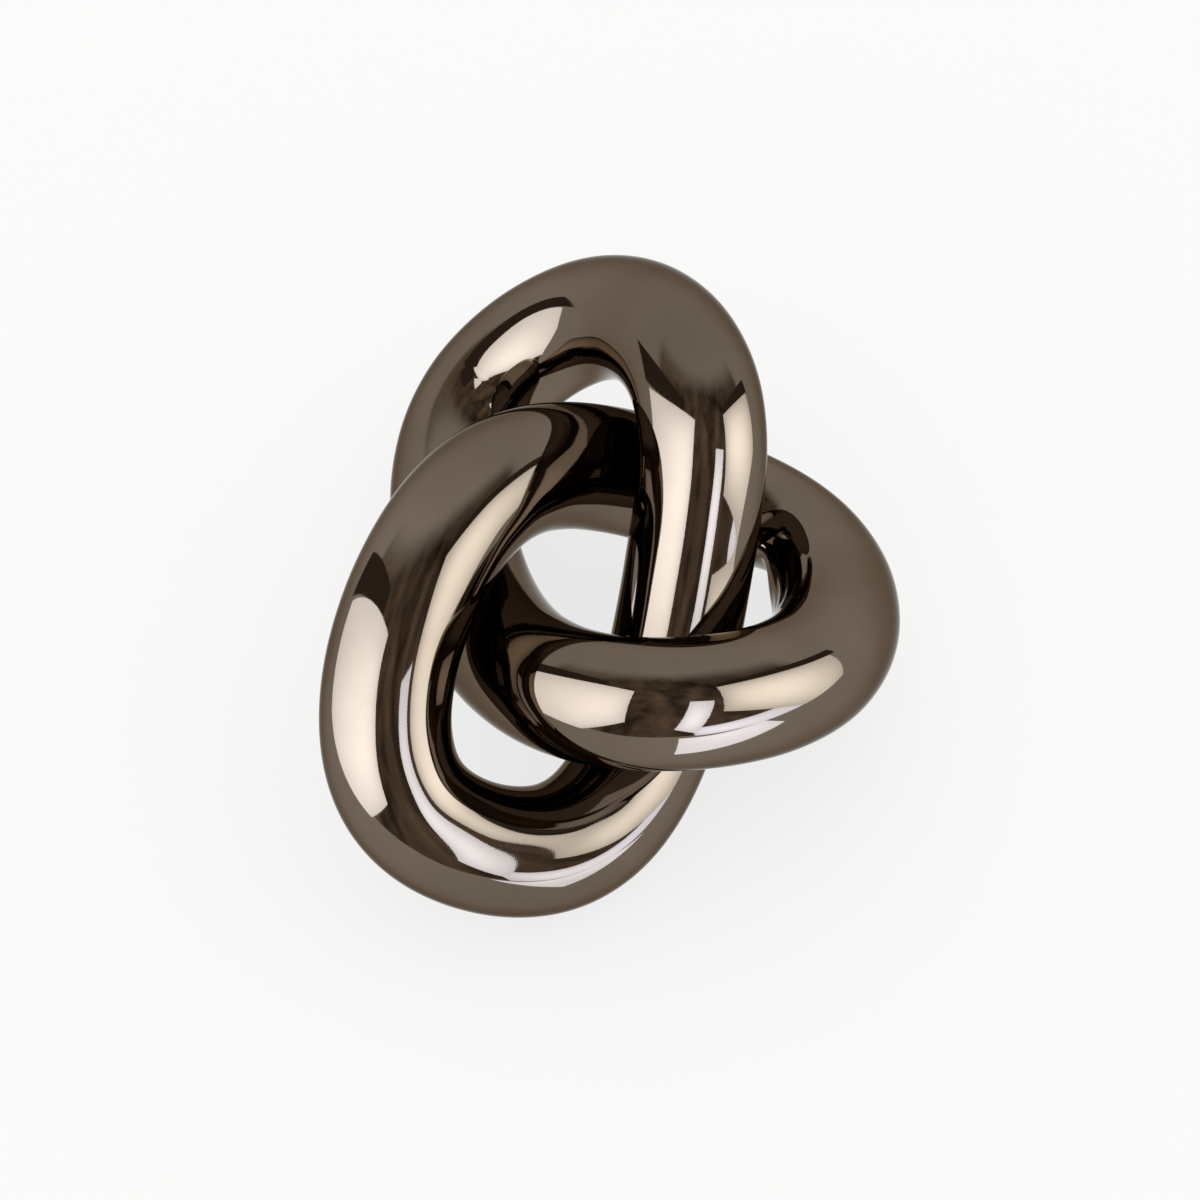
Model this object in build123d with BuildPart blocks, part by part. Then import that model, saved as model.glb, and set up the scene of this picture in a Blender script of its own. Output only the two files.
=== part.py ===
"""Metal knot sculpture: a trefoil knot of fat round tube, lying on three of its bends.

The closed tube is made as such knots are, from six hollow bends that are pushed over
inner sleeves, butted end to end, welded in V grooves and ground flush before polishing.
Three small clear bumpers keep the metal off the table.

Millimetres, +Z up. The origin is on the table, under the middle of the knot's outline.
Seen along +Y the knot shows a lower lobe towards the viewer, a right lobe and a top lobe.
"""

import os
from math import ceil, cos, radians, sin, sqrt

import numpy as np
from build123d import *

# Tube
TUBE_OD = 32.0
TUBE_WALL = 3.0
# Clear space between two strands where one crosses the other
STRAND_GAP = 2.0

# Lobes in plan: how far the tube's centre lies past the heart of the knot, and on which
# bearing in degrees, where the tube comes into each lobe and where it goes out of it
LOWER_LOBE_IN = 21.5
LOWER_LOBE_IN_BEARING = -103.5
LOWER_LOBE_OUT = 33.0
LOWER_LOBE_OUT_BEARING = -125.0
RIGHT_LOBE_IN = -1.5
RIGHT_LOBE_IN_BEARING = 30.5
RIGHT_LOBE_OUT = 6.0
RIGHT_LOBE_OUT_BEARING = -33.5
TOP_LOBE_IN = 22.0
TOP_LOBE_IN_BEARING = 118.0
TOP_LOBE_OUT = 22.0
TOP_LOBE_OUT_BEARING = 96.0

# Weld seams: width at the surface, and the wall left to butt under the groove
SEAM_WIDTH = 3.0
SEAM_ROOT = 1.0

# Sleeves inside the joints
SLEEVE_LENGTH = 24.0
SLEEVE_WALL = 1.5
SLEEVE_FIT = 0.15

# Clear bumpers under the three low bends
FOOT_DIAMETER = 10.0
FOOT_HEIGHT = 1.5
FOOT_GLUE = 0.1

# Longest stretch of the centreline that is drawn with one pair of tangent arcs
SPAN_LENGTH = 24.0

# Joints between the six bends, as shares of the way round the knot, counted from the
# point where the tube leaves the lower lobe
JOINT_LEFT_RISE = 0.072
JOINT_LEFT_FALL = 0.184
JOINT_RIGHT_RISE = 0.338
JOINT_FRONT_FALL = 0.512
JOINT_TOP_RISE = 0.722
JOINT_UPRIGHT_FALL = 0.852

# Strands that cross lie one pitch apart, centre to centre. The heart of the knot, where
# they all cross, and all heights follow the pitch.
PITCH = TUBE_OD + STRAND_GAP
HEART_REACH = 1.5 * PITCH


def lobe_point(past_heart, bearing, lift):
    """A station on a lobe: its distance past the heart, its bearing, and its lift in pitches."""
    reach = HEART_REACH + past_heart
    return (reach * cos(radians(bearing)), reach * sin(radians(bearing)), lift * PITCH)


def heart_point(x, y, lift):
    """A station in the heart of the knot, in pitches from the middle."""
    return (x * PITCH, y * PITCH, lift * PITCH)


# Centreline: twelve stations, four from lobe to lobe
STATIONS = [
    lobe_point(LOWER_LOBE_OUT, LOWER_LOBE_OUT_BEARING, 0.50),
    heart_point(-1.21, -0.25, 1.38),
    heart_point(0.28, 0.96, 0.38),
    lobe_point(RIGHT_LOBE_IN, RIGHT_LOBE_IN_BEARING, 0.00),
    lobe_point(RIGHT_LOBE_OUT, RIGHT_LOBE_OUT_BEARING, 0.68),
    heart_point(0.22, -1.57, 1.18),
    heart_point(-1.01, -0.16, 0.24),
    lobe_point(TOP_LOBE_IN, TOP_LOBE_IN_BEARING, 0.22),
    lobe_point(TOP_LOBE_OUT, TOP_LOBE_OUT_BEARING, 0.81),
    heart_point(0.60, 0.78, 1.44),
    heart_point(0.53, -0.06, 0.79),
    lobe_point(LOWER_LOBE_IN, LOWER_LOBE_IN_BEARING, 0.04),
]

# One closed curve runs through the stations. Its directions at the stations are solved
# so that the bending passes smoothly through each of them, as in a sprung wire.
points = np.array(STATIONS)
count = len(points)
chords = np.linalg.norm(np.roll(points, -1, axis=0) - points, axis=1)
marks = np.concatenate([[0.0], np.cumsum(chords)])
LOOP = marks[-1]
rule = np.zeros((count, count))
pull = np.zeros((count, 3))
for k in range(count):
    back, ahead = chords[k - 1], chords[k]
    rule[k, k - 1] += 1 / back
    rule[k, k] += 2 / back + 2 / ahead
    rule[k, (k + 1) % count] += 1 / ahead
    pull[k] += 3 * (points[k] - points[k - 1]) / back**2
    pull[k] += 3 * (points[(k + 1) % count] - points[k]) / ahead**2
slopes = np.linalg.solve(rule, pull)


def on_curve(share):
    """Point and direction of the closed curve at a share of the way round."""
    place = share % 1.0 * LOOP
    k = int(np.searchsorted(marks, place, side="right")) - 1
    n = (k + 1) % count
    h = chords[k]
    u = (place - marks[k]) / h
    point = (
        points[k] * (1 - 3 * u**2 + 2 * u**3)
        + points[n] * (3 * u**2 - 2 * u**3)
        + slopes[k] * h * (u - 2 * u**2 + u**3)
        + slopes[n] * h * (u**3 - u**2)
    )
    direction = (
        (points[n] - points[k]) * (6 * u - 6 * u**2) / h
        + slopes[k] * (1 - 4 * u + 3 * u**2)
        + slopes[n] * (3 * u**2 - 2 * u)
    )
    return point, direction


# The knot is set over the origin, with its lowest strand resting on the bumpers
LOOKS = 1200
walk = np.array([on_curve(k / LOOKS)[0] for k in range(LOOKS)])
low, high = walk.min(axis=0), walk.max(axis=0)
SETTLE = Vector(-(low[0] + high[0]) / 2, -(low[1] + high[1]) / 2, FOOT_HEIGHT + TUBE_OD / 2 - low[2])


def spot(share):
    """Point of the centreline at a share of the way round."""
    return Vector(*on_curve(share)[0]) + SETTLE


def heading(share):
    """Direction of the centreline there."""
    return Vector(*on_curve(share)[1]).normalized()


def share_of(length, share):
    """The share of the way round that a length of tube takes up near a given share."""
    return length / LOOP / float(np.linalg.norm(on_curve(share)[1]))


def trace(begin, end):
    """Draw the centreline between two shares as pairs of tangent arcs."""
    spans = ceil((end - begin) * LOOP / SPAN_LENGTH)
    for k in range(spans):
        p0 = spot(begin + (end - begin) * k / spans)
        p1 = spot(begin + (end - begin) * (k + 1) / spans)
        t0 = heading(begin + (end - begin) * k / spans)
        t1 = heading(begin + (end - begin) * (k + 1) / spans)
        chord = p1 - p0
        along = chord.dot(t0 + t1)
        turn = 2 * (1 - t0.dot(t1))
        handle = (sqrt(along**2 + turn * chord.dot(chord)) - along) / turn
        q0 = p0 + t0 * handle
        q1 = p1 - t1 * handle
        meet = (q0 + q1) / 2
        TangentArc(p0, meet, tangent=t0)
        TangentArc(meet, p1, tangent=q1 - q0)


def across(share):
    """Plane square to the tube."""
    return Plane(origin=spot(share), z_dir=heading(share))


def seam_profile(share, top):
    """V section of a weld seam, in a plane through the tube's axis: x outwards, y along."""
    root = TUBE_OD / 2 - TUBE_WALL + SEAM_ROOT
    half_width = SEAM_WIDTH / 2 * (top - root) / (TUBE_OD / 2 - root)
    square = across(share)
    with BuildSketch(Plane(origin=spot(share), x_dir=square.x_dir, z_dir=-square.y_dir)) as section:
        with BuildLine():
            Polyline((root, 0), (top, half_width), (top, -half_width), close=True)
        make_face()
    return section.sketch


# Least clear space between two strands that lie apart along the tube
beads = walk[::4]
along = np.arange(len(beads)) * LOOP / len(beads)
apart = np.abs((along[:, None] - along[None] + LOOP / 2) % LOOP - LOOP / 2)
distance = np.linalg.norm(beads[:, None] - beads[None], axis=2)
print("least gap between strands", round(float(distance[apart > 2 * TUBE_OD].min()) - TUBE_OD, 2))

os.makedirs("parts", exist_ok=True)

# Six hollow bends, each named after the stretch of the knot that it makes
BENDS = {
    "left_strand": (JOINT_LEFT_RISE, JOINT_LEFT_FALL),
    "right_lobe": (JOINT_LEFT_FALL, JOINT_RIGHT_RISE),
    "front_strand": (JOINT_RIGHT_RISE, JOINT_FRONT_FALL),
    "top_lobe": (JOINT_FRONT_FALL, JOINT_TOP_RISE),
    "upright_strand": (JOINT_TOP_RISE, JOINT_UPRIGHT_FALL),
    "lower_lobe": (JOINT_UPRIGHT_FALL, JOINT_LEFT_RISE + 1),
}

for name, (begin, end) in BENDS.items():
    with BuildPart() as bend:
        with BuildLine() as run:
            trace(begin, end)
        with BuildSketch(across(begin)):
            Circle(TUBE_OD / 2)
            Circle(TUBE_OD / 2 - TUBE_WALL, mode=Mode.SUBTRACT)
        sweep(path=run.wire())
        for share in (begin, end):
            groove = seam_profile(share, TUBE_OD / 2 + SEAM_WIDTH)
            revolve(groove, Axis(spot(share), heading(share)), mode=Mode.SUBTRACT)
    bend.part.label = name
    export_step(bend.part, f"parts/{name}.step")
    tightest = min(edge.radius for edge in run.edges())
    print(name, "length", round(run.wire().length, 1), "tightest arc", round(tightest, 1))

# Joints between the bends: an inner sleeve across each, and a weld seam round it
JOINTS = {
    "left_rise": JOINT_LEFT_RISE,
    "left_fall": JOINT_LEFT_FALL,
    "right_rise": JOINT_RIGHT_RISE,
    "front_fall": JOINT_FRONT_FALL,
    "top_rise": JOINT_TOP_RISE,
    "upright_fall": JOINT_UPRIGHT_FALL,
}
SLEEVE_OD = TUBE_OD - 2 * TUBE_WALL - 2 * SLEEVE_FIT

for name, share in JOINTS.items():
    half = share_of(SLEEVE_LENGTH / 2, share)
    with BuildPart() as sleeve:
        with BuildLine() as run:
            trace(share - half, share + half)
        with BuildSketch(across(share - half)):
            Circle(SLEEVE_OD / 2)
            Circle(SLEEVE_OD / 2 - SLEEVE_WALL, mode=Mode.SUBTRACT)
        sweep(path=run.wire())
    sleeve.part.label = f"{name}_sleeve"
    export_step(sleeve.part, f"parts/{name}_sleeve.step")

    with BuildPart() as weld:
        revolve(seam_profile(share, TUBE_OD / 2), Axis(spot(share), heading(share)))
    weld.part.label = f"{name}_weld"
    export_step(weld.part, f"parts/{name}_weld.step")

# Three clear bumpers, each hollowed on top to the tube and standing under the lowest
# point of a low bend
FEET = {
    "right_foot": BENDS["right_lobe"],
    "back_foot": BENDS["top_lobe"],
    "front_foot": BENDS["lower_lobe"],
}

for name, (begin, end) in FEET.items():
    lowest = min(np.linspace(begin, end, LOOKS), key=lambda share: spot(share).Z)
    reach = share_of(FOOT_DIAMETER, lowest)
    with BuildPart() as foot:
        with Locations((spot(lowest).X, spot(lowest).Y, 0)):
            Cylinder(FOOT_DIAMETER / 2, spot(lowest).Z, align=(Align.CENTER, Align.CENTER, Align.MIN))
        with BuildLine() as run:
            trace(lowest - reach, lowest + reach)
        with BuildSketch(across(lowest - reach)):
            Circle(TUBE_OD / 2 + FOOT_GLUE)
        sweep(path=run.wire(), mode=Mode.SUBTRACT)
    foot.part.label = name
    export_step(foot.part, f"parts/{name}.step")
    print(name, "height at the middle", round(spot(lowest).Z - TUBE_OD / 2, 2))
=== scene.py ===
"""Looks of the metal knot sculpture: mirror-polished dark plating on a fat closed tube,
clear bumpers under its three low bends, and a small photo studio round it.

Metres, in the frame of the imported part. The tube's own sizes are in millimetres.
"""

from math import cos, pi, radians, sin

import bpy
import numpy as np
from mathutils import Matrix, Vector


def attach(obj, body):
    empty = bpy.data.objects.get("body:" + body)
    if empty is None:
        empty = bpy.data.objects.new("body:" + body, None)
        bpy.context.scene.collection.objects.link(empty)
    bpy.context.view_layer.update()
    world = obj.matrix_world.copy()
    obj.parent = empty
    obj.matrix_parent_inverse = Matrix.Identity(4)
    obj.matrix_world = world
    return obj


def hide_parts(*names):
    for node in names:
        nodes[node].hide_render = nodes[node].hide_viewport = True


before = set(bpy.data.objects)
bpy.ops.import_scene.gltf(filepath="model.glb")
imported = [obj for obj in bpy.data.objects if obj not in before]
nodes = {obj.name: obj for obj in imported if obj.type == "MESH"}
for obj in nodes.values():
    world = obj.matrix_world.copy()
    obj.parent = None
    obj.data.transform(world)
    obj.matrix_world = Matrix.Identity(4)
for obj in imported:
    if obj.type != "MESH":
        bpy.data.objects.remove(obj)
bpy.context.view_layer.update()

MM = 0.001

# Tube, seams and stations of the centreline, as in the part
TUBE_OD = 32.0
TUBE_WALL = 3.0
STRAND_GAP = 2.0
SEAM_WIDTH = 3.0
SEAM_ROOT = 1.0
FOOT_HEIGHT = 1.5
PITCH = TUBE_OD + STRAND_GAP
HEART_REACH = 1.5 * PITCH
RADIUS = TUBE_OD / 2
BORE = RADIUS - TUBE_WALL

LOWER_LOBE_IN, LOWER_LOBE_IN_BEARING = 21.5, -103.5
LOWER_LOBE_OUT, LOWER_LOBE_OUT_BEARING = 33.0, -125.0
RIGHT_LOBE_IN, RIGHT_LOBE_IN_BEARING = -1.5, 30.5
RIGHT_LOBE_OUT, RIGHT_LOBE_OUT_BEARING = 6.0, -33.5
TOP_LOBE_IN, TOP_LOBE_IN_BEARING = 22.0, 118.0
TOP_LOBE_OUT, TOP_LOBE_OUT_BEARING = 22.0, 96.0

# Joints between the bends, as shares of the way round
JOINTS = {
    "left_rise": 0.072,
    "left_fall": 0.184,
    "right_rise": 0.338,
    "front_fall": 0.512,
    "top_rise": 0.722,
    "upright_fall": 0.852,
}
FEET = ["right_foot", "back_foot", "front_foot"]
BENDS = ["left_strand", "right_lobe", "front_strand", "top_lobe", "upright_strand", "lower_lobe"]

# Mesh: points round the tube, spacing of its rings, rings across a seam
AROUND = 120
RING_STEP = 0.9
SEAM_RINGS = 5
BORE_STRIDE = 6

# Inside of the right lobe, flattened where the tube is bent tightest, and small folds beside it
PINCH_SHARE = 0.276
PINCH_LENGTH = 24.0
PINCH_DEPTH = 7.4
PINCH_EASE = 5.0
PINCH_SOFT = 1.5
PINCH_LEAST_COSINE = 0.25
PINCH_FACING = np.array([-0.64, -0.61, -0.46])
FOLD_SHARE = 0.320
FOLD_LENGTH = 14.0
FOLD_WIDTH = 8.0
FOLD_DEPTH = 0.24
FOLD_PITCH = 3.6
FOLD_FACING = np.array([-0.74, 0.30, 0.60])

# Waves left by hand polishing: how many, how high in millimetres, and their least and most
# number along the whole tube and round it
WAVE_SEED = 7
WAVE_COUNT = 16
WAVE_HEIGHT = 0.004
WAVES_ALONG = (12, 46)
WAVES_ROUND = (-4, 5)


def lobe_point(past_heart, bearing, lift):
    """A station on a lobe: its distance past the heart, its bearing, and its lift in pitches."""
    reach = HEART_REACH + past_heart
    return (reach * cos(radians(bearing)), reach * sin(radians(bearing)), lift * PITCH)


def heart_point(x, y, lift):
    """A station in the heart of the knot, in pitches from the middle."""
    return (x * PITCH, y * PITCH, lift * PITCH)


STATIONS = np.array([
    lobe_point(LOWER_LOBE_OUT, LOWER_LOBE_OUT_BEARING, 0.50),
    heart_point(-1.21, -0.25, 1.38),
    heart_point(0.28, 0.96, 0.38),
    lobe_point(RIGHT_LOBE_IN, RIGHT_LOBE_IN_BEARING, 0.00),
    lobe_point(RIGHT_LOBE_OUT, RIGHT_LOBE_OUT_BEARING, 0.68),
    heart_point(0.22, -1.57, 1.18),
    heart_point(-1.01, -0.16, 0.24),
    lobe_point(TOP_LOBE_IN, TOP_LOBE_IN_BEARING, 0.22),
    lobe_point(TOP_LOBE_OUT, TOP_LOBE_OUT_BEARING, 0.81),
    heart_point(0.60, 0.78, 1.44),
    heart_point(0.53, -0.06, 0.79),
    lobe_point(LOWER_LOBE_IN, LOWER_LOBE_IN_BEARING, 0.04),
])
COUNT = len(STATIONS)
CHORDS = np.linalg.norm(np.roll(STATIONS, -1, axis=0) - STATIONS, axis=1)
MARKS = np.concatenate([[0.0], np.cumsum(CHORDS)])
LOOP = MARKS[-1]


def solve_slopes():
    """Directions at the stations, for which the bending runs smoothly through each of them."""
    rule = np.zeros((COUNT, COUNT))
    pull = np.zeros((COUNT, 3))
    for k in range(COUNT):
        back, ahead = CHORDS[k - 1], CHORDS[k]
        rule[k, k - 1] += 1 / back
        rule[k, k] += 2 / back + 2 / ahead
        rule[k, (k + 1) % COUNT] += 1 / ahead
        pull[k] += 3 * (STATIONS[k] - STATIONS[k - 1]) / back**2
        pull[k] += 3 * (STATIONS[(k + 1) % COUNT] - STATIONS[k]) / ahead**2
    return np.linalg.solve(rule, pull)


SLOPES = solve_slopes()


def on_curve(shares):
    """Points and directions of the closed curve at shares of the way round."""
    place = np.mod(shares, 1.0) * LOOP
    k = np.searchsorted(MARKS, place, side="right") - 1
    n = (k + 1) % COUNT
    h = CHORDS[k][:, None]
    u = (place - MARKS[k])[:, None] / h
    points = (
        STATIONS[k] * (1 - 3 * u**2 + 2 * u**3)
        + STATIONS[n] * (3 * u**2 - 2 * u**3)
        + SLOPES[k] * h * (u - 2 * u**2 + u**3)
        + SLOPES[n] * h * (u**3 - u**2)
    )
    directions = (
        (STATIONS[n] - STATIONS[k]) * (6 * u - 6 * u**2) / h
        + SLOPES[k] * (1 - 4 * u + 3 * u**2)
        + SLOPES[n] * (3 * u**2 - 2 * u)
    )
    return points, directions


def unit(v):
    """Vectors brought to a length of 1."""
    return v / np.linalg.norm(v, axis=-1, keepdims=True)


# The knot is set over the origin, with its lowest strand resting on the bumpers
WALK_POINTS = 1200
walk = on_curve(np.arange(WALK_POINTS) / WALK_POINTS)[0]
low, high = walk.min(axis=0), walk.max(axis=0)
SETTLE = np.array([-(low[0] + high[0]) / 2, -(low[1] + high[1]) / 2, FOOT_HEIGHT + RADIUS - low[2]])


def ring_shares():
    """Shares of all rings, the first and last ring of each bend, and the first of each seam."""
    names = list(JOINTS)
    shares, bends, seams = [], {}, {}
    for k, bend in enumerate(BENDS):
        end_joint = names[(k + 1) % len(names)]
        begin = JOINTS[names[k]]
        end = JOINTS[end_joint] + (k == len(BENDS) - 1)
        pace = LOOP * np.linalg.norm(on_curve(np.array([begin, end]))[1], axis=1)
        first = begin + SEAM_WIDTH / 2 / pace[0]
        last = end - SEAM_WIDTH / 2 / pace[1]
        rings = int((last - first) * LOOP / RING_STEP)
        bends[bend] = (len(shares), len(shares) + rings - 1)
        shares += list(np.linspace(first, last, rings))
        seams[end_joint] = len(shares) - 1
        shares += list(np.linspace(last, end + SEAM_WIDTH / 2 / pace[1], SEAM_RINGS)[1:-1])
    return np.array(shares), bends, seams


SHARES, BEND_RINGS, SEAM_STARTS = ring_shares()
RINGS = len(SHARES)
TURNS = np.arange(AROUND) * 2 * pi / AROUND


def ring_frames():
    """Centre, direction and two cross directions of each ring, carried along without twist."""
    centre, ahead = on_curve(SHARES)
    centre, ahead = centre + SETTLE, unit(ahead)
    side = np.zeros_like(ahead)
    side[0] = unit(np.cross(ahead[0], (0.0, 0.0, 1.0)))
    for k in range(1, RINGS):
        side[k] = unit(side[k - 1] - (side[k - 1] @ ahead[k]) * ahead[k])
    last = unit(side[-1] - (side[-1] @ ahead[0]) * ahead[0])
    turn = np.arctan2(np.cross(last, side[0]) @ ahead[0], last @ side[0])
    shared_out = (turn * np.arange(RINGS) / RINGS)[:, None]
    side = side * np.cos(shared_out) + np.cross(ahead, side) * np.sin(shared_out)
    return centre, ahead, side, np.cross(ahead, side)


CENTRE, AHEAD, SIDE, UP = ring_frames()
OUTWARD = SIDE[:, None] * np.cos(TURNS)[None, :, None] + UP[:, None] * np.sin(TURNS)[None, :, None]


def ring_points(rings, radius):
    """Points of some rings at a radius, or at one radius for each point."""
    reach = np.broadcast_to(radius, (len(rings), AROUND))
    return CENTRE[rings][:, None] + OUTWARD[rings] * reach[..., None]


def turned_towards(facing):
    """Cosine of the turn round the tube between each point and a facing."""
    square = unit(facing - (AHEAD @ facing)[:, None] * AHEAD)
    return (OUTWARD * square[:, None]).sum(-1)


def drawn_in():
    """How far the inside of the right lobe's tight bend is flattened, as tube is when bent tightly."""
    along = (SHARES - PINCH_SHARE) * LOOP
    dip = np.exp(-((along / PINCH_LENGTH) ** 2))
    flat = RADIUS + PINCH_EASE - (PINCH_EASE + PINCH_DEPTH) * dip
    reach = flat[:, None] / np.clip(turned_towards(PINCH_FACING), PINCH_LEAST_COSINE, 1)
    return PINCH_SOFT * np.log1p(np.exp((RADIUS - reach) / PINCH_SOFT))


def folds():
    """Small folds along the tube, next to the flattened place."""
    along = (SHARES - FOLD_SHARE) * LOOP
    across = RADIUS * np.arccos(np.clip(turned_towards(FOLD_FACING), -1, 1))
    fade = np.exp(-((along / FOLD_LENGTH) ** 2))[:, None] * np.exp(-((across / FOLD_WIDTH) ** 2))
    return FOLD_DEPTH * fade * np.cos(2 * pi * across / FOLD_PITCH)


def polish_waves():
    """Shallow waves left by polishing by hand, whole numbers of them round and along the tube."""
    rng = np.random.default_rng(WAVE_SEED)
    waves = np.zeros((RINGS, AROUND))
    for _ in range(WAVE_COUNT):
        lengthwise = rng.integers(*WAVES_ALONG)
        crosswise = rng.integers(*WAVES_ROUND)
        phase = rng.uniform(0, 2 * pi)
        waves += np.cos(2 * pi * lengthwise * SHARES[:, None] + crosswise * TURNS[None] + phase)
    return waves * WAVE_HEIGHT


DRAWN_IN = drawn_in()
SURFACE = ring_points(np.arange(RINGS), RADIUS - DRAWN_IN + folds() + polish_waves())


def surface_normals():
    """Normals of the whole outer surface from its slopes along and round the tube."""
    lap = 2
    wide = np.concatenate([SURFACE[-lap:], SURFACE, SURFACE[:lap]])
    marks = np.concatenate([SHARES[-lap:] - 1, SHARES, SHARES[:lap] + 1])
    along = np.gradient(wide, marks, axis=0)[lap:-lap]
    round_ = np.roll(SURFACE, -1, axis=1) - np.roll(SURFACE, 1, axis=1)
    return unit(np.cross(round_, along))


NORMALS = surface_normals()


def tube_mesh(name, rings, normals):
    """A closed mesh through rings of points, the last ring joined to the first."""
    count = len(rings)
    verts = (rings.reshape(-1, 3) * MM).astype(np.float32)
    here = AROUND * np.arange(count)[:, None]
    after = np.roll(here, -1, axis=0)
    turn = np.arange(AROUND)[None]
    beside = np.roll(turn, -1, axis=1)
    quads = np.stack([here + turn, here + beside, after + beside, after + turn], -1)
    mesh = bpy.data.meshes.new(name)
    mesh.from_pydata(verts.tolist(), [], quads.reshape(-1, 4).tolist())
    mesh.shade_smooth()
    mesh.normals_split_custom_set_from_vertices(normals.reshape(-1, 3).tolist())
    piece = bpy.data.objects.new(name, mesh)
    bpy.context.scene.collection.objects.link(piece)
    return piece


def level(rings, radius):
    """Rings at one radius with normals square to the tube, outwards, or inwards in the bore."""
    points = ring_points(rings, radius - DRAWN_IN[rings])
    outward = OUTWARD[rings]
    return points, -outward if radius <= BORE else outward


def bend_piece(name):
    """One polished bend: outer skin, grooved ends and bore."""
    first, last = BEND_RINGS[name]
    half = SEAM_RINGS // 2
    outer = np.arange(first, last + 1)
    start, stop = (first - half) % RINGS, (last + half) % RINGS
    bore = outer[::-1][::BORE_STRIDE]
    parts = [
        (SURFACE[outer], NORMALS[outer]),
        level(np.array([stop]), BORE + SEAM_ROOT),
        level(np.concatenate([[stop], bore, [start]]), BORE),
        level(np.array([start]), BORE + SEAM_ROOT),
    ]
    rings = np.concatenate([p for p, _ in parts])
    normals = np.concatenate([n for _, n in parts])
    return tube_mesh(f"{name}_skin", rings, normals)


def seam_piece(name):
    """One weld seam, ground flush: a V ring between two bends."""
    first = SEAM_STARTS[name]
    outer = np.arange(first, first + SEAM_RINGS) % RINGS
    middle = outer[SEAM_RINGS // 2]
    root_points, root_normals = level(np.array([middle]), BORE + SEAM_ROOT)
    points = np.concatenate([SURFACE[outer], root_points])
    normals = np.concatenate([NORMALS[outer], -root_normals])
    return tube_mesh(f"{name}_seam", points, normals)


# Between these two values lies nearly all of a noise texture
NOISE_LOW = 0.3
NOISE_HIGH = 0.7


def new_material(name):
    """A node material with its nodes and links."""
    material = bpy.data.materials.new(name)
    material.use_nodes = True
    return material, material.node_tree.nodes, material.node_tree.links


def noise(n, link, place, scale, detail):
    """A noise texture over some coordinates."""
    texture = n.new("ShaderNodeTexNoise")
    texture.inputs["Scale"].default_value = scale
    texture.inputs["Detail"].default_value = detail
    link.new(place, texture.inputs["Vector"])
    return texture.outputs["Fac"]


def spread(n, link, value, low, high):
    """Noise brought to a range of its own."""
    reach = n.new("ShaderNodeMapRange")
    reach.inputs["From Min"].default_value = NOISE_LOW
    reach.inputs["From Max"].default_value = NOISE_HIGH
    reach.inputs["To Min"].default_value = low
    reach.inputs["To Max"].default_value = high
    link.new(value, reach.inputs["Value"])
    return reach.outputs["Result"]


def tones(n, link, value, dark, light):
    """Noise brought to colours between two tones."""
    ramp = n.new("ShaderNodeValToRGB")
    ramp.color_ramp.elements[0].position = NOISE_LOW
    ramp.color_ramp.elements[0].color = (*dark, 1.0)
    ramp.color_ramp.elements[1].position = NOISE_HIGH
    ramp.color_ramp.elements[1].color = (*light, 1.0)
    link.new(value, ramp.inputs["Fac"])
    return ramp.outputs["Color"]


def stretched(n, link, place, scale):
    """Coordinates stretched by different amounts along the three axes."""
    mapping = n.new("ShaderNodeMapping")
    mapping.inputs["Scale"].default_value = scale
    link.new(place, mapping.inputs["Vector"])
    return mapping.outputs["Vector"]


def relief(n, link, height, shader, strength, distance):
    """Fine relief on a shader from a height."""
    bump = n.new("ShaderNodeBump")
    bump.inputs["Strength"].default_value = strength
    bump.inputs["Distance"].default_value = distance
    link.new(height, bump.inputs["Height"])
    link.new(bump.outputs["Normal"], shader.inputs["Normal"])


def plated_metal():
    """Dark nickel plating, mirror-polished by hand: clouds in its tone, patches of haze, hairlines."""
    material, n, link = new_material("dark_nickel_plating")
    shader = n["Principled BSDF"]
    shader.inputs["Metallic"].default_value = 1.0
    shader.inputs["Specular Tint"].default_value = (0.44, 0.42, 0.40, 1.0)
    place = n.new("ShaderNodeTexCoord").outputs["Object"]
    clouds = noise(n, link, place, scale=16.0, detail=5.0)
    tone = tones(n, link, clouds, dark=(0.124, 0.095, 0.070), light=(0.174, 0.137, 0.108))
    link.new(tone, shader.inputs["Base Color"])
    haze = noise(n, link, place, scale=60.0, detail=4.0)
    link.new(spread(n, link, haze, low=0.02, high=0.06), shader.inputs["Roughness"])
    strokes = stretched(n, link, place, scale=(1.0, 0.08, 0.5))
    hairlines = noise(n, link, strokes, scale=2400.0, detail=2.0)
    relief(n, link, hairlines, shader, strength=0.03, distance=0.00004)
    return material


def turned_metal():
    """Turned aluminium, unpolished: a dull grey with a fine grain."""
    material, n, link = new_material("turned_aluminium")
    shader = n["Principled BSDF"]
    shader.inputs["Metallic"].default_value = 1.0
    place = n.new("ShaderNodeTexCoord").outputs["Object"]
    clouds = noise(n, link, place, scale=120.0, detail=4.0)
    tone = tones(n, link, clouds, dark=(0.56, 0.56, 0.57), light=(0.68, 0.68, 0.69))
    link.new(tone, shader.inputs["Base Color"])
    grain = noise(n, link, place, scale=700.0, detail=2.0)
    link.new(spread(n, link, grain, low=0.30, high=0.48), shader.inputs["Roughness"])
    relief(n, link, grain, shader, strength=0.25, distance=0.0001)
    return material


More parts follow.
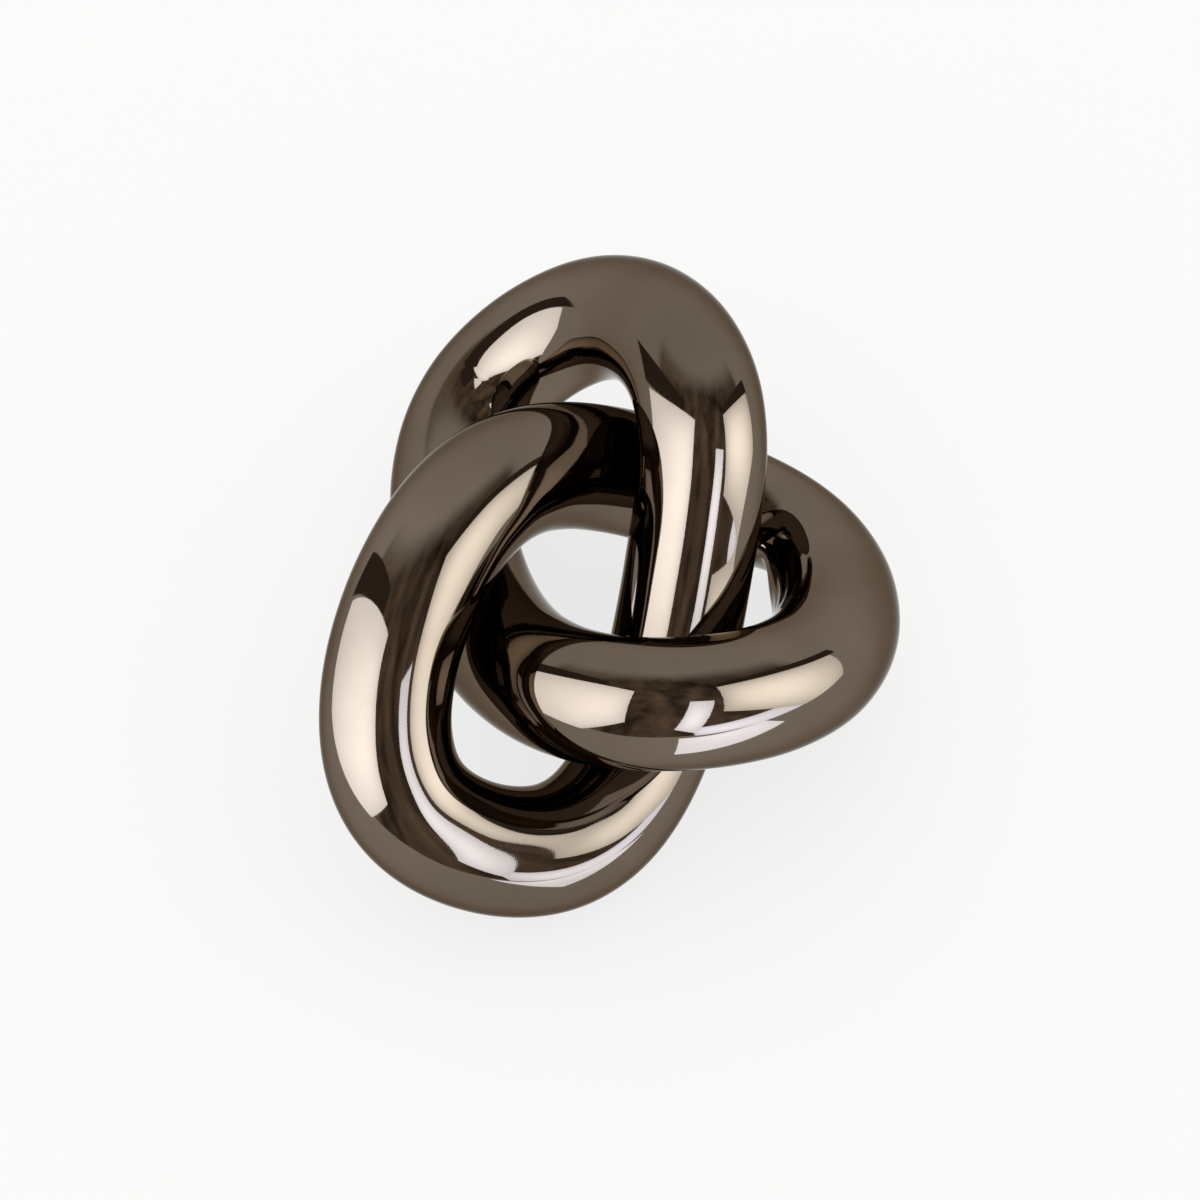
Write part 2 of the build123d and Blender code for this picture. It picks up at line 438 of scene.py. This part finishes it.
def clear_rubber():
    """Clear soft polyurethane, a little clouded."""
    material, n, link = new_material("clear_polyurethane")
    shader = n["Principled BSDF"]
    shader.inputs["Transmission Weight"].default_value = 0.9
    shader.inputs["IOR"].default_value = 1.49
    place = n.new("ShaderNodeTexCoord").outputs["Object"]
    clouds = noise(n, link, place, scale=300.0, detail=3.0)
    tone = tones(n, link, clouds, dark=(0.78, 0.80, 0.81), light=(0.88, 0.90, 0.91))
    link.new(tone, shader.inputs["Base Color"])
    link.new(spread(n, link, clouds, low=0.10, high=0.24), shader.inputs["Roughness"])
    grain = noise(n, link, place, scale=1500.0, detail=2.0)
    relief(n, link, grain, shader, strength=0.1, distance=0.0001)
    return material


PLATED = plated_metal()
TURNED = turned_metal()
CLEAR = clear_rubber()
for bend in BENDS:
    piece = bend_piece(bend)
    piece.data.materials.append(PLATED)
    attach(piece, "root")
    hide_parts(bend)
for joint in JOINTS:
    piece = seam_piece(joint)
    piece.data.materials.append(PLATED)
    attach(piece, "root")
    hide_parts(f"{joint}_weld")
for joint in JOINTS:
    nodes[f"{joint}_sleeve"].material_slots[0].material = TURNED
for foot in FEET:
    nodes[foot].material_slots[0].material = CLEAR

# Camera at the photograph's viewing angle: level, looking down on the knot from the front
VIEW_AZIMUTH = radians(-0.21)
VIEW_ELEVATION = radians(54.83)
VIEW_DISTANCE = 1.0773
VIEW_LENS = 130.16
SENSOR_WIDTH = 36.0
CLIP_NEAR = 0.05
CLIP_FAR = 20.0
KNOT_MIDDLE = Vector((0.0, 0.0, 0.042))
AIM_LEFT = 0.0040
AIM_BELOW = 0.0103

forward = Vector((
    sin(VIEW_AZIMUTH) * cos(VIEW_ELEVATION),
    cos(VIEW_AZIMUTH) * cos(VIEW_ELEVATION),
    -sin(VIEW_ELEVATION),
))
right = Vector((cos(VIEW_AZIMUTH), -sin(VIEW_AZIMUTH), 0.0))
up = right.cross(forward)

camera = bpy.data.objects.new("camera", bpy.data.cameras.new("camera"))
camera.data.lens = VIEW_LENS
camera.data.sensor_width = SENSOR_WIDTH
camera.location = KNOT_MIDDLE - forward * VIEW_DISTANCE
aim = KNOT_MIDDLE - right * AIM_LEFT - up * AIM_BELOW
camera.rotation_mode = "QUATERNION"
camera.rotation_quaternion = (aim - camera.location).to_track_quat("-Z", "Y")
camera.data.clip_start = CLIP_NEAR
camera.data.clip_end = CLIP_FAR
bpy.context.scene.collection.objects.link(camera)
bpy.context.scene.camera = camera


# Studio sheets: cells along each side, and the dim warm glow of the dark cards beside two softboxes,
# which paint dark reflections in the metal next to their highlights
SHEET_CELLS = 24
PAINTED_DARK_COLOR = (1.0, 0.80, 0.66)
PAINTED_DARK_LEVEL = 0.12

# Corners to the right, upwards and towards the camera as the photograph sees them
LEFT_SOFTBOX = [(-0.40, -0.34, 0.06), (-0.40, 0.15, -0.08), (-0.22, 0.36, 0.95), (-0.29, -0.45, 0.74)]
# The two dark cards beside the softboxes are painted reflections: dim glowing sheets that show in the
# metal as dark bands
LEFT_PAINTED_DARK = [(-0.40, 0.15, -0.12), (-0.40, 0.25, -0.12), (-0.31, 0.37, 0.50), (-0.31, 0.26, 0.50)]
RIGHT_PAINTED_DARK = [(0.55, 0.30, -0.08), (0.55, 0.39, -0.08), (0.52, 0.46, 0.66), (0.52, 0.36, 0.66)]
RIGHT_SOFTBOX = [(0.55, -0.15, -0.09), (0.55, 0.30, -0.05), (0.52, 0.36, 0.64), (0.55, -0.19, 0.60)]
NEAR_SOFTBOX = [(0.55, 0.06, 0.74), (0.50, -0.92, 0.72), (0.30, -0.95, 1.02), (0.44, 0.08, 1.02)]

# Corners in the part's frame: a low softbox that stands on the floor, and one that lies on it
LOW_SOFTBOX = [(0.60, -0.17, -0.02), (0.52, -1.25, -0.02), (0.50, -1.20, 0.30), (0.58, -0.17, 0.11)]
FLOOR_SOFTBOX = [
    (0.026, -0.134, 0.004),
    (0.200, -0.138, 0.004),
    (0.600, -0.420, 0.004),
    (0.150, -0.620, 0.004),
]

# Softbox colours
PALE_BLUE = (0.79, 0.88, 1.0)
NEAR_WHITE = (0.88, 0.95, 1.0)
DEEP_BLUE = (0.64, 0.75, 1.0)
SOFT_BLUE = (0.67, 0.79, 1.0)


def rig_point(across, above, nearer):
    """A studio point: to the right, upwards and towards the camera as the photograph sees it."""
    return KNOT_MIDDLE + right * across + up * above - forward * nearer


def rigged(corners):
    """Studio points of some corners."""
    return [rig_point(*corner) for corner in corners]


def stage_mesh(name, points, faces):
    """A mesh of the studio, which isn't part of the object."""
    mesh = bpy.data.meshes.new(name)
    mesh.from_pydata([tuple(p) for p in points], [], faces)
    obj = bpy.data.objects.new(name, mesh)
    bpy.context.scene.collection.objects.link(obj)
    return obj


def glow(name, color, strength=1.0):
    """A glowing material."""
    material, n, link = new_material(name)
    n.remove(n["Principled BSDF"])
    emission = n.new("ShaderNodeEmission")
    emission.inputs["Color"].default_value = (*color, 1.0)
    emission.inputs["Strength"].default_value = strength
    link.new(emission.outputs[0], n["Material Output"].inputs[0])
    return material


def grid_faces(cells):
    """Faces between the points of a square grid, row after row."""
    row = cells + 1
    faces = []
    for k in range(cells):
        for m in range(cells):
            at = k * row + m
            faces.append((at, at + 1, at + row + 1, at + row))
    return faces


def point_values(obj, name, values):
    """Stores one number for each point of a mesh."""
    obj.data.attributes.new(name, "FLOAT", "POINT").data.foreach_set("value", np.ravel(values))


def point_value(n, name):
    """Reads the stored numbers in a material."""
    attribute = n.new("ShaderNodeAttribute")
    attribute.attribute_name = name
    return attribute.outputs["Fac"]


def veil_over(material, share):
    """Lets a glowing sheet show by a share and be clear for the rest."""
    n, link = material.node_tree.nodes, material.node_tree.links
    mix = n.new("ShaderNodeMixShader")
    link.new(share, mix.inputs[0])
    link.new(n.new("ShaderNodeBsdfTransparent").outputs[0], mix.inputs[1])
    link.new(n["Emission"].outputs[0], mix.inputs[2])
    link.new(mix.outputs[0], n["Material Output"].inputs[0])


def only_mirrored(obj):
    """Leaves a sheet out of all but reflections, so matt surfaces keep the world's plain level."""
    obj.visible_camera = False
    obj.visible_diffuse = False
    obj.visible_transmission = False
    obj.visible_shadow = False


def sheet(name, corners):
    """A smooth sheet between four corners that only mirrors show."""
    p = np.array(corners)
    steps = np.linspace(0, 1, SHEET_CELLS + 1)
    points = []
    for v in steps:
        for w in steps:
            points.append((1 - v) * ((1 - w) * p[0] + w * p[1]) + v * ((1 - w) * p[3] + w * p[2]))
    obj = stage_mesh(name, points, grid_faces(SHEET_CELLS))
    only_mirrored(obj)
    return obj


def softbox(name, corners, color, edge, middle):
    """A soft light: a glowing sheet, brightest in its middle."""
    box = sheet(name, corners)
    u = np.linspace(-1, 1, SHEET_CELLS + 1)
    point_values(box, "level", edge + (middle - edge) * (1 - u[:, None] ** 2) * (1 - u[None] ** 2))
    material = glow(name, color)
    n, link = material.node_tree.nodes, material.node_tree.links
    link.new(point_value(n, "level"), n["Emission"].inputs["Strength"])
    box.data.materials.append(material)


def painted_dark_card(name, corners):
    """A dark card beside a softbox: a dimly glowing sheet that paints a dark reflection in the metal.
    """
    sheet(name, corners).data.materials.append(glow(name, PAINTED_DARK_COLOR, PAINTED_DARK_LEVEL))


softbox("left_softbox", rigged(LEFT_SOFTBOX), PALE_BLUE, edge=5.2, middle=8.4)
# Painted reflections: dim glowing cards that show in the metal as dark bands beside the softboxes'
# highlights
painted_dark_card("left_painted_dark", rigged(LEFT_PAINTED_DARK))
painted_dark_card("right_painted_dark", rigged(RIGHT_PAINTED_DARK))
softbox("right_softbox", rigged(RIGHT_SOFTBOX), NEAR_WHITE, edge=3.2, middle=6.8)
softbox("low_softbox", LOW_SOFTBOX, DEEP_BLUE, edge=5.8, middle=8.6)
softbox("near_softbox", rigged(NEAR_SOFTBOX), SOFT_BLUE, edge=5.8, middle=8.6)
softbox("floor_softbox", FLOOR_SOFTBOX, SOFT_BLUE, edge=6.6, middle=8.2)


def eased(share):
    """A share from 0 to 1, with a soft start and end."""
    return share * share * (3 - 2 * share)


def dark_side():
    """The unlit room on the camera's side, painted as a wide dark shell that only mirrors show: it
    glows dimly and warm, with noise in its glow, to paint the room's dark, mottled reflection in the
    metal.
    """
    reach, wide, tall, deep = 1.6, radians(86), radians(57), radians(-86)
    soft_side, soft_top = radians(10), radians(22)
    cells = 56
    points, veil = [], []
    for k in range(cells + 1):
        lat = deep + (tall - deep) * k / cells
        for m in range(cells + 1):
            lon = -wide + 2 * wide * m / cells
            level_reach = reach * cos(lat)
            points.append(rig_point(level_reach * sin(lon), reach * sin(lat), level_reach * cos(lon)))
            side = min(1.0, (wide - abs(lon)) / soft_side)
            top = min(1.0, (tall - lat) / soft_top)
            veil.append(eased(side) * eased(top))
    shell = stage_mesh("dark_room", points, grid_faces(cells))
    point_values(shell, "veil", veil)
    material = glow("dark_room", (1.0, 0.79, 0.63))
    n, link = material.node_tree.nodes, material.node_tree.links
    place = n.new("ShaderNodeTexCoord").outputs["Object"]
    upright = stretched(n, link, place, scale=(2.0, 2.0, 0.8))
    # Painted reflection: noise in the shell's dim warm glow paints mottled patches in the metal's dark
    # reflections
    painted_mottle = noise(n, link, upright, scale=1.3, detail=2.0)
    link.new(spread(n, link, painted_mottle, low=0.08, high=0.48), n["Emission"].inputs["Strength"])
    veil_over(material, point_value(n, "veil"))
    shell.data.materials.append(material)
    only_mirrored(shell)


dark_side()


def pale_floor():
    """A plain pale floor, nearly white to the camera and to mirrors, that keeps a soft shadow."""
    size, top = 3.0, -0.0002
    camera_glow, mirror_glow = 0.76, 0.92
    corners = [(-size, -size, top), (size, -size, top), (size, size, top), (-size, size, top)]
    floor = stage_mesh("floor", corners, [(0, 1, 2, 3)])
    material, n, link = new_material("pale_floor")
    shader = n["Principled BSDF"]
    shader.inputs["Base Color"].default_value = (0.87, 0.855, 0.83, 1.0)
    shader.inputs["Roughness"].default_value = 0.8
    shader.inputs["Specular IOR Level"].default_value = 0.0
    path = n.new("ShaderNodeLightPath")
    mirrored = n.new("ShaderNodeMath")
    mirrored.operation = "MAXIMUM"
    link.new(path.outputs["Is Glossy Ray"], mirrored.inputs[0])
    link.new(path.outputs["Is Transmission Ray"], mirrored.inputs[1])
    seen = n.new("ShaderNodeMath")
    seen.operation = "MULTIPLY"
    seen.inputs[1].default_value = camera_glow
    link.new(path.outputs["Is Camera Ray"], seen.inputs[0])
    share = n.new("ShaderNodeMath")
    share.operation = "MULTIPLY_ADD"
    share.inputs[1].default_value = mirror_glow
    link.new(mirrored.outputs[0], share.inputs[0])
    link.new(seen.outputs[0], share.inputs[2])
    white = n.new("ShaderNodeEmission")
    mix = n.new("ShaderNodeMixShader")
    link.new(share.outputs[0], mix.inputs[0])
    link.new(shader.outputs[0], mix.inputs[1])
    link.new(white.outputs[0], mix.inputs[2])
    link.new(mix.outputs[0], n["Material Output"].inputs[0])
    floor.data.materials.append(material)


pale_floor()


def white_world():
    """A white dome at a plain level."""
    world = bpy.data.worlds.new("studio")
    world.use_nodes = True
    bpy.context.scene.world = world
    background = world.node_tree.nodes["Background"]
    background.inputs["Color"].default_value = (1.0, 1.0, 1.0, 1.0)
    background.inputs["Strength"].default_value = 1.0


white_world()

bpy.context.scene.view_settings.view_transform = "Standard"
